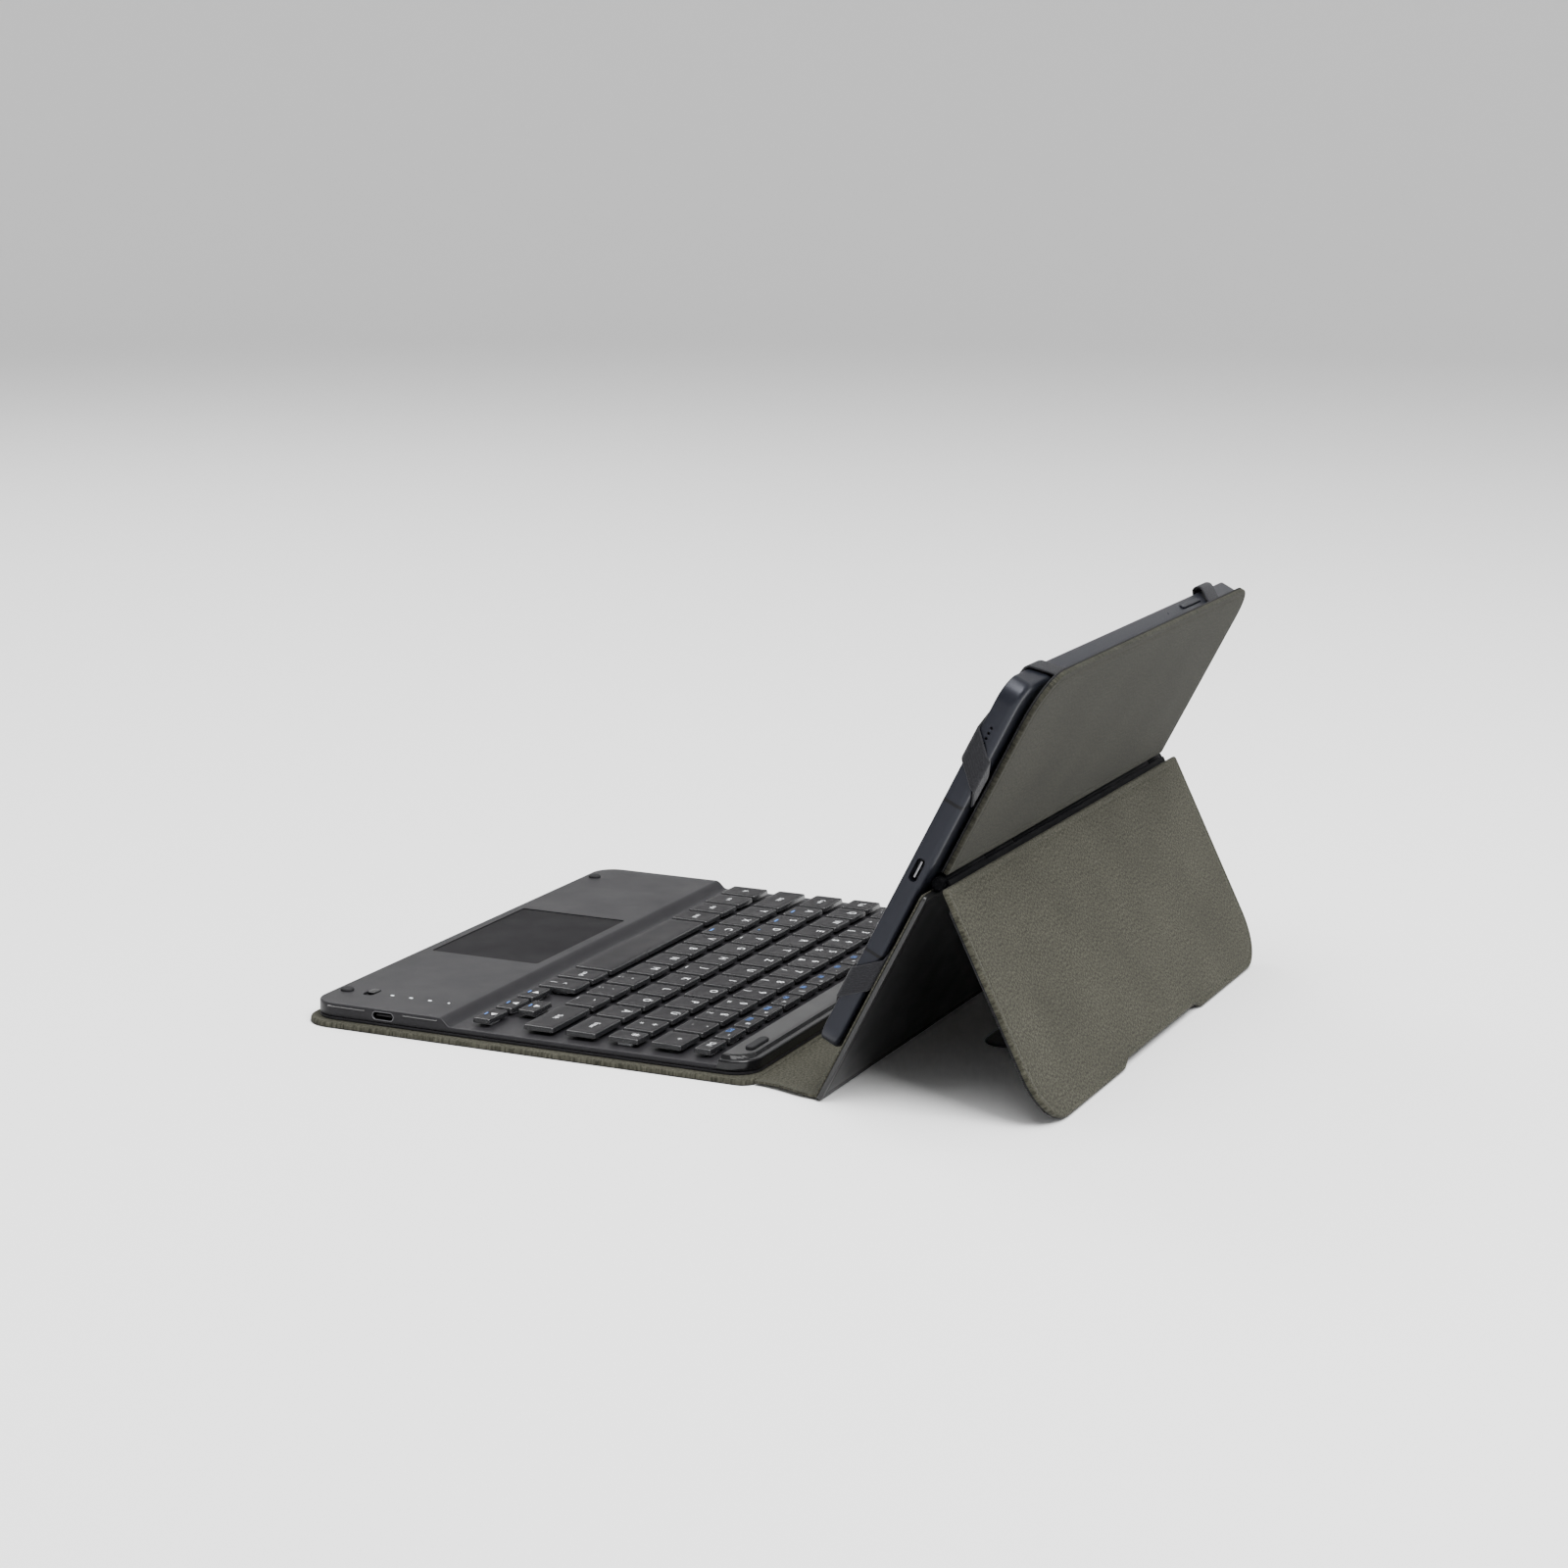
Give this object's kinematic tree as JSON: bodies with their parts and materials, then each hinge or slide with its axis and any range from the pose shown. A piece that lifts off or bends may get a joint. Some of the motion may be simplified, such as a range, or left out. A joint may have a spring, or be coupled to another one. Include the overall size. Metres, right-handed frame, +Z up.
{
  "type": "tablet keyboard case",
  "caption": "Folding tablet case with a keyboard, touchpad, soft spine, hinged back panel, kickstand and corner elastics holding a tablet.",
  "frame": {"origin": "on the table under the middle of the whole object", "axes": "+X is the typist's right, +Y points away from the typist, +Z is up"},
  "size_m": [0.2565, 0.2958, 0.1554],
  "materials": {
    "olive_fabric": "woven-look coated fabric, matt",
    "dark_lining": "smooth dark lining",
    "black_board": "satin coated board",
    "black_plastic": "fine-grain moulded plastic",
    "key_plastic": "satin keycaps",
    "gloss_black": "glossy trim",
    "rubber": "matt rubber",
    "white_light": "clear light guide",
    "steel": "plain steel",
    "barrel_black": "glossy black enamel",
    "tablet_metal": "dark blue-grey anodised",
    "display_glass": "dark display glass, polished",
    "elastic": "knitted elastic band",
    "green_board": "circuit board",
    "battery_foil": "pouch foil",
    "clear_film": "clear film"
  },
  "bodies": {
    "keyboard": {"keyboard_cover": "olive_fabric", "keyboard_base": "black_plastic", "keyboard_deck": "black_plastic", "touchpad": "black_plastic", "front_bumper_left": "rubber", "front_bumper_right": "rubber", "rear_pad_left": "rubber", "rear_pad_right": "rubber", "status_light_guide": "white_light", "usb_c_shell": "steel", "usb_c_tongue": "black_plastic", "side_trim_front": "gloss_black", "side_trim_rear": "gloss_black", "battery": "battery_foil", "circuit_board": "green_board", "switch_membrane": "clear_film"},
    "spine": {"spine": "olive_fabric"},
    "back_panel": {"lower_panel": "black_board", "lower_lining": "olive_fabric", "upper_panel": "olive_fabric", "upper_lining": "dark_lining", "panel_knuckle_middle": "barrel_black", "panel_knuckle_right": "barrel_black", "hinge_pin": "steel", "hinge_cap_left": "barrel_black", "hinge_cap_right": "barrel_black", "tablet_housing": "tablet_metal", "tablet_glass": "display_glass", "corner_elastic_lower_left": "elastic", "corner_elastic_upper_left": "elastic", "corner_elastic_lower_right": "elastic", "corner_elastic_upper_right": "elastic"},
    "kickstand": {"kickstand": "olive_fabric", "kickstand_lining": "dark_lining", "kickstand_knuckle_left": "barrel_black", "kickstand_knuckle_right": "barrel_black"},
    "flap": {"flap": "black_board"},
    "power_switch": {"power_switch": "black_plastic"},
    "volume_rocker": {"volume_rocker": "tablet_metal"},
    "escape_key": {"escape_key": "key_plastic"},
    "function_keys": {"function_keys": "key_plastic"},
    "delete_key": {"delete_key": "key_plastic"},
    "number_row_keys": {"number_row_keys": "key_plastic"},
    "backspace_key": {"backspace_key": "key_plastic"},
    "tab_key": {"tab_key": "key_plastic"},
    "upper_letter_keys": {"upper_letter_keys": "key_plastic"},
    "hash_key": {"hash_key": "key_plastic"},
    "caps_lock_key": {"caps_lock_key": "key_plastic"},
    "home_letter_keys": {"home_letter_keys": "key_plastic"},
    "enter_key": {"enter_key": "key_plastic"},
    "left_shift_key": {"left_shift_key": "key_plastic"},
    "lower_letter_keys": {"lower_letter_keys": "key_plastic"},
    "right_shift_key": {"right_shift_key": "key_plastic"},
    "left_modifier_keys": {"left_modifier_keys": "key_plastic"},
    "space_bar": {"space_bar": "key_plastic"},
    "right_modifier_keys": {"right_modifier_keys": "key_plastic"},
    "left_arrow_key": {"left_arrow_key": "key_plastic"},
    "down_arrow_key": {"down_arrow_key": "key_plastic"},
    "right_arrow_key": {"right_arrow_key": "key_plastic"},
    "up_arrow_key": {"up_arrow_key": "key_plastic"}
  },
  "joints": [
    {"name": "spine_fold", "type": "hinge", "parent": "keyboard", "child": "spine", "pos_m": [0, 0.03608, 0.0013], "axis": [1, 0, 0], "range_deg": [0, 90]},
    {"name": "back_panel_fold", "type": "hinge", "parent": "spine", "child": "back_panel", "pos_m": [0, 0.06208, 0.0006], "axis": [1, 0, 0], "range_deg": [-63.3, 26.7]},
    {"name": "kickstand_hinge", "type": "hinge", "parent": "back_panel", "child": "kickstand", "pos_m": [0, 0.10301, 0.07953], "axis": [1, 0, 0], "range_deg": [-53.2, 6.8]},
    {"name": "flap_hinge", "type": "hinge", "parent": "kickstand", "child": "flap", "pos_m": [0, 0.14505, 0.00204], "axis": [1, 0, 0], "range_deg": [-15, 115]},
    {"name": "power_switch_slide", "type": "slide", "parent": "keyboard", "child": "power_switch", "axis": [1, 0, 0], "range_m": [0, 0.0028]},
    {"name": "volume_rocker_press", "type": "slide", "parent": "back_panel", "child": "volume_rocker", "axis": [0, -0.4493, -0.8934], "range_m": [0, 0.0003], "stiffness_N_per_m": 2000, "springref_m": -0.0003},
    {"name": "escape_key_press", "type": "slide", "parent": "keyboard", "child": "escape_key", "axis": [0, 0, -1], "range_m": [0, 0.0012], "stiffness_N_per_m": 400, "springref_m": -0.0006},
    {"name": "function_keys_press", "type": "slide", "parent": "keyboard", "child": "function_keys", "axis": [0, 0, -1], "range_m": [0, 0.0012], "stiffness_N_per_m": 400, "springref_m": -0.0006},
    {"name": "delete_key_press", "type": "slide", "parent": "keyboard", "child": "delete_key", "axis": [0, 0, -1], "range_m": [0, 0.0012], "stiffness_N_per_m": 400, "springref_m": -0.0006},
    {"name": "number_row_keys_press", "type": "slide", "parent": "keyboard", "child": "number_row_keys", "axis": [0, 0, -1], "range_m": [0, 0.0012], "stiffness_N_per_m": 400, "springref_m": -0.0006},
    {"name": "backspace_key_press", "type": "slide", "parent": "keyboard", "child": "backspace_key", "axis": [0, 0, -1], "range_m": [0, 0.0012], "stiffness_N_per_m": 400, "springref_m": -0.0006},
    {"name": "tab_key_press", "type": "slide", "parent": "keyboard", "child": "tab_key", "axis": [0, 0, -1], "range_m": [0, 0.0012], "stiffness_N_per_m": 400, "springref_m": -0.0006},
    {"name": "upper_letter_keys_press", "type": "slide", "parent": "keyboard", "child": "upper_letter_keys", "axis": [0, 0, -1], "range_m": [0, 0.0012], "stiffness_N_per_m": 400, "springref_m": -0.0006},
    {"name": "hash_key_press", "type": "slide", "parent": "keyboard", "child": "hash_key", "axis": [0, 0, -1], "range_m": [0, 0.0012], "stiffness_N_per_m": 400, "springref_m": -0.0006},
    {"name": "caps_lock_key_press", "type": "slide", "parent": "keyboard", "child": "caps_lock_key", "axis": [0, 0, -1], "range_m": [0, 0.0012], "stiffness_N_per_m": 400, "springref_m": -0.0006},
    {"name": "home_letter_keys_press", "type": "slide", "parent": "keyboard", "child": "home_letter_keys", "axis": [0, 0, -1], "range_m": [0, 0.0012], "stiffness_N_per_m": 400, "springref_m": -0.0006},
    {"name": "enter_key_press", "type": "slide", "parent": "keyboard", "child": "enter_key", "axis": [0, 0, -1], "range_m": [0, 0.0012], "stiffness_N_per_m": 400, "springref_m": -0.0006},
    {"name": "left_shift_key_press", "type": "slide", "parent": "keyboard", "child": "left_shift_key", "axis": [0, 0, -1], "range_m": [0, 0.0012], "stiffness_N_per_m": 400, "springref_m": -0.0006},
    {"name": "lower_letter_keys_press", "type": "slide", "parent": "keyboard", "child": "lower_letter_keys", "axis": [0, 0, -1], "range_m": [0, 0.0012], "stiffness_N_per_m": 400, "springref_m": -0.0006},
    {"name": "right_shift_key_press", "type": "slide", "parent": "keyboard", "child": "right_shift_key", "axis": [0, 0, -1], "range_m": [0, 0.0012], "stiffness_N_per_m": 400, "springref_m": -0.0006},
    {"name": "left_modifier_keys_press", "type": "slide", "parent": "keyboard", "child": "left_modifier_keys", "axis": [0, 0, -1], "range_m": [0, 0.0012], "stiffness_N_per_m": 400, "springref_m": -0.0006},
    {"name": "space_bar_press", "type": "slide", "parent": "keyboard", "child": "space_bar", "axis": [0, 0, -1], "range_m": [0, 0.0012], "stiffness_N_per_m": 400, "springref_m": -0.0006},
    {"name": "right_modifier_keys_press", "type": "slide", "parent": "keyboard", "child": "right_modifier_keys", "axis": [0, 0, -1], "range_m": [0, 0.0012], "stiffness_N_per_m": 400, "springref_m": -0.0006},
    {"name": "left_arrow_key_press", "type": "slide", "parent": "keyboard", "child": "left_arrow_key", "axis": [0, 0, -1], "range_m": [0, 0.0012], "stiffness_N_per_m": 400, "springref_m": -0.0006},
    {"name": "down_arrow_key_press", "type": "slide", "parent": "keyboard", "child": "down_arrow_key", "axis": [0, 0, -1], "range_m": [0, 0.0012], "stiffness_N_per_m": 400, "springref_m": -0.0006},
    {"name": "right_arrow_key_press", "type": "slide", "parent": "keyboard", "child": "right_arrow_key", "axis": [0, 0, -1], "range_m": [0, 0.0012], "stiffness_N_per_m": 400, "springref_m": -0.0006},
    {"name": "up_arrow_key_press", "type": "slide", "parent": "keyboard", "child": "up_arrow_key", "axis": [0, 0, -1], "range_m": [0, 0.0012], "stiffness_N_per_m": 400, "springref_m": -0.0006}
  ],
  "couplings": [
    {"joint": "flap_hinge", "follows": "kickstand_hinge", "ratio": -2.16}
  ]
}
